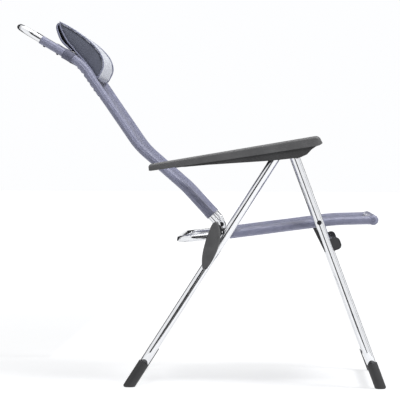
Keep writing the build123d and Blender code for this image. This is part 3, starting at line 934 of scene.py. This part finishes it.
def armrest_shells():
    """Moulded armrest shells: crowned top, rolled edges, hollow below, a slanted nose."""
    aim = math.atan2(ARM_AIM[1] - ARM_PIVOT[1], ARM_AIM[0] - ARM_PIVOT[0])
    along, up = Vector((math.cos(aim), math.sin(aim))), Vector((-math.sin(aim), math.cos(aim)))
    spots = [-0.029, -0.0285, -0.027, -0.024, -0.019, -0.012] + [0.0125 * k for k in range(34)]
    spots += [0.420, 0.428, 0.434, 0.438, 0.442, 0.445, 0.447]
    for side, label in SIDES:
        rows = []
        for u in spots:
            top, low = height_at(ARM_TOP, u), height_at(ARM_LOW, u)
            tight = 0.0022 * (1 - smoothstep(u, -0.029, -0.021)) + 0.0040 * smoothstep(u, 0.434, 0.447)
            waist = 0.0016 * smoothstep(u, 0.02, 0.2) * (1 - smoothstep(u, 0.25, 0.43))
            row = []
            for y, w in shell_ring(ARM_HALF - tight - waist, top, low, ARM_HOLLOW[0] < u < ARM_HOLLOW[1]):
                spot = Vector(ARM_PIVOT) + along * u + up * w
                row.append((spot.x, side * ARM_Y + y, spot.y))
            rows.append(row)
        mesh = closed_mesh(f"armrest_{label}", rows)
        piece = add_object(f"armrest_{label}", mesh, GREY_PLASTIC, "armrests")
        modifier(piece, "BEVEL", width=0.0006, segments=2, limit_method="ANGLE", angle_limit=math.radians(50))
        modifier(piece, "WEIGHTED_NORMAL")
        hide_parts(f"armrest_shell_{label}")


def shell_ring(half, top, low, hollow):
    """A closed cross-section: the outside over the top, then back along the inside."""
    roll = min(0.0068, (top - low) * 0.45)
    outer = [(-half, low)]
    for k in range(9):
        angle = math.pi - math.pi / 2 * k / 8
        outer.append((-half + roll + roll * math.cos(angle), top - roll + roll * math.sin(angle)))
    for k in range(1, 12):
        y = (-half + roll) + (half - roll) * 2 * k / 12
        outer.append((y, top + 0.0011 * (1 - (y / (half - roll)) ** 2)))
    for k in range(9):
        angle = math.pi / 2 - math.pi / 2 * k / 8
        outer.append((half - roll + roll * math.cos(angle), top - roll + roll * math.sin(angle)))
    outer.append((half, low))
    wall = half - 0.0036
    ceiling = top - 0.0030 if hollow else low + 0.0002
    inner = [(wall, low), (wall, ceiling), (0.0, ceiling), (-wall, ceiling), (-wall, low)]
    return outer + inner


def side_plates():
    """Leaf-shaped side plates with a soft crown and rounded rim, moulded over the rivet heads."""
    outline = leaf_outline()
    centre = sum(outline, Vector((0, 0))) / len(outline)
    for side, label in SIDES:
        rows = []
        for scale, thick in LEAF_RINGS:
            ring = [centre.lerp(q, scale) for q in outline]
            rows.append([(q.x, side * (LEAF_Y + thick), q.y) for q in ring])
        mesh = closed_mesh(f"link_plate_{label}", rows)
        piece = add_object(f"link_plate_{label}", mesh, GREY_PLASTIC, "side_links")
        modifier(piece, "BEVEL", width=0.0005, segments=2, limit_method="ANGLE", angle_limit=math.radians(55))
        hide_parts(f"side_plate_{label}")


def leaf_outline():
    """The leaf's outline: two bowed edges between its tips, the tips rounded."""
    rear = parabola(LEAF_TOP, LEAF_REAR, LEAF_FOOT, 24)
    front = parabola(LEAF_FOOT, LEAF_FRONT, LEAF_TOP, 24)
    ring = even(rear[2:-2] + front[2:-2] + [rear[2]], 0.004)[:-1]
    for _ in range(3):
        ring = [(ring[i - 1] + ring[i] * 2 + ring[(i + 1) % len(ring)]) / 4 for i in range(len(ring))]
    return ring


# ---------------------------------------------------------------- stage


CAMERA_PLACE = (0.2185, -6.840, 0.620)
FOCAL_MM = 216.9
TURN = math.radians(1.878)
TILT = math.radians(-0.951)
ROLL = math.radians(0.25)
FLOOR_HALF = 40
# Upright flags stand round the chair: the direction of each in degrees, and its width
UPRIGHT_FLAGS = [(-104, 2.0), (76, 2.0), (-14, 0.4), (166, 0.4), (140, 2.6), (50, 1.6)]
FLAG_AWAY = 4.0
FLAG_TALL = 4.2
# Flags that lie on the floor, by their corners
FLOOR_FLAGS = [
    [(0.05, -0.7), (0.5, -0.7), (0.35, -4.2), (-1.7, -4.2)],
    [(-4.0, 0.7), (-0.5, 0.7), (-0.5, 2.9), (-4.0, 2.9)],
    [(1.2, 1.0), (4.0, 1.0), (4.0, 2.9), (1.2, 2.9)],
]
HIGH_FLAG = [(-4.0, 1.5, 3.3), (4.0, 1.5, 3.3), (4.0, 2.6, 2.6), (-4.0, 2.6, 2.6)]
# Each lamp's name, place, target, size and power in watts
LIGHTS = [
    ("key", (1.6, -1.5, 3.2), (0, 0, 0.5), (1.2, 0.8), 105),
    ("top", (-0.2, 0.2, 3.8), (0, 0, 0.4), (3.6, 2.4), 70),
]


def add_camera():
    """A long lens from the sitter's right, turned, tilted and rolled a little."""
    data = bpy.data.cameras.new("camera")
    data.lens = FOCAL_MM
    data.sensor_width = 36
    data.clip_end = 60
    camera = bpy.data.objects.new("camera", data)
    bpy.context.collection.objects.link(camera)
    aim = Matrix.Rotation(TURN, 4, "Z") @ Matrix.Rotation(math.pi / 2 + TILT, 4, "X")
    aim = aim @ Matrix.Rotation(ROLL, 4, "Z")
    camera.matrix_world = Matrix.Translation(CAMERA_PLACE) @ aim
    bpy.context.scene.camera = camera


def area_light(name, place, target, size, power):
    """A soft rectangular lamp that points at its target, in watts."""
    data = bpy.data.lights.new(name, "AREA")
    data.shape = "RECTANGLE"
    data.size, data.size_y = size
    data.energy = power
    light = bpy.data.objects.new(name, data)
    bpy.context.collection.objects.link(light)
    light.location = place
    light.rotation_euler = (Vector(target) - Vector(place)).to_track_quat("-Z", "Y").to_euler()


def stage_panel(name, corners, material):
    """One flat face that isn't part of the chair."""
    mesh = bpy.data.meshes.new(name)
    mesh.from_pydata(corners, [], [(0, 1, 2, 3)])
    mesh.materials.append(material)
    panel = bpy.data.objects.new(name, mesh)
    bpy.context.collection.objects.link(panel)
    return panel


def add_floor():
    """A wide flat floor."""
    corners = [(-1, -1), (1, -1), (1, 1), (-1, 1)]
    stage_panel("floor", [(x * FLOOR_HALF, y * FLOOR_HALF, 0) for x, y in corners], floor_paint())


def add_world():
    """A bright even studio, seen by the camera and in reflections, that adds no light of its own."""
    world = bpy.data.worlds.new("studio")
    world.use_nodes = True
    background = world.node_tree.nodes["Background"]
    background.inputs["Color"].default_value = (*STUDIO_WHITE, 1)
    background.inputs["Strength"].default_value = 1.0
    world.cycles_visibility.diffuse = False
    bpy.context.scene.world = world
    bpy.context.scene.view_settings.view_transform = "Standard"


def black_flag(name, corners):
    """A dark studio flag that shows only in reflections."""
    flag = stage_panel(name, corners, FLAG_CLOTH)
    flag.visible_camera = False
    flag.visible_diffuse = False
    flag.visible_shadow = False


def upright_flag(name, azimuth, width):
    """A flag that stands on the floor and faces the chair."""
    angle = math.radians(azimuth)
    out = Vector((math.cos(angle), math.sin(angle), 0)) * FLAG_AWAY
    side = Vector((-math.sin(angle), math.cos(angle), 0)) * width / 2
    height = Vector((0, 0, FLAG_TALL))
    black_flag(name, [out - side, out + side, out + side + height, out - side + height])


def add_flags():
    """Dark strips that draw the lines along the polished tubes: upright ones, some low, one high."""
    for i, (azimuth, width) in enumerate(UPRIGHT_FLAGS):
        upright_flag(f"flag_{i}", azimuth, width)
    for i, corners in enumerate(FLOOR_FLAGS):
        black_flag(f"flag_floor_{i}", [(x, y, 0.01) for x, y in corners])
    black_flag("flag_high", HIGH_FLAG)


def add_stage():
    """The camera and the studio round the chair."""
    add_camera()
    add_floor()
    add_world()
    add_flags()
    for light in LIGHTS:
        area_light(*light)


add_stage()
dress_cad()
add_slings()
cushion()
headrest_trim()
studs()
armrest_shells()
side_plates()
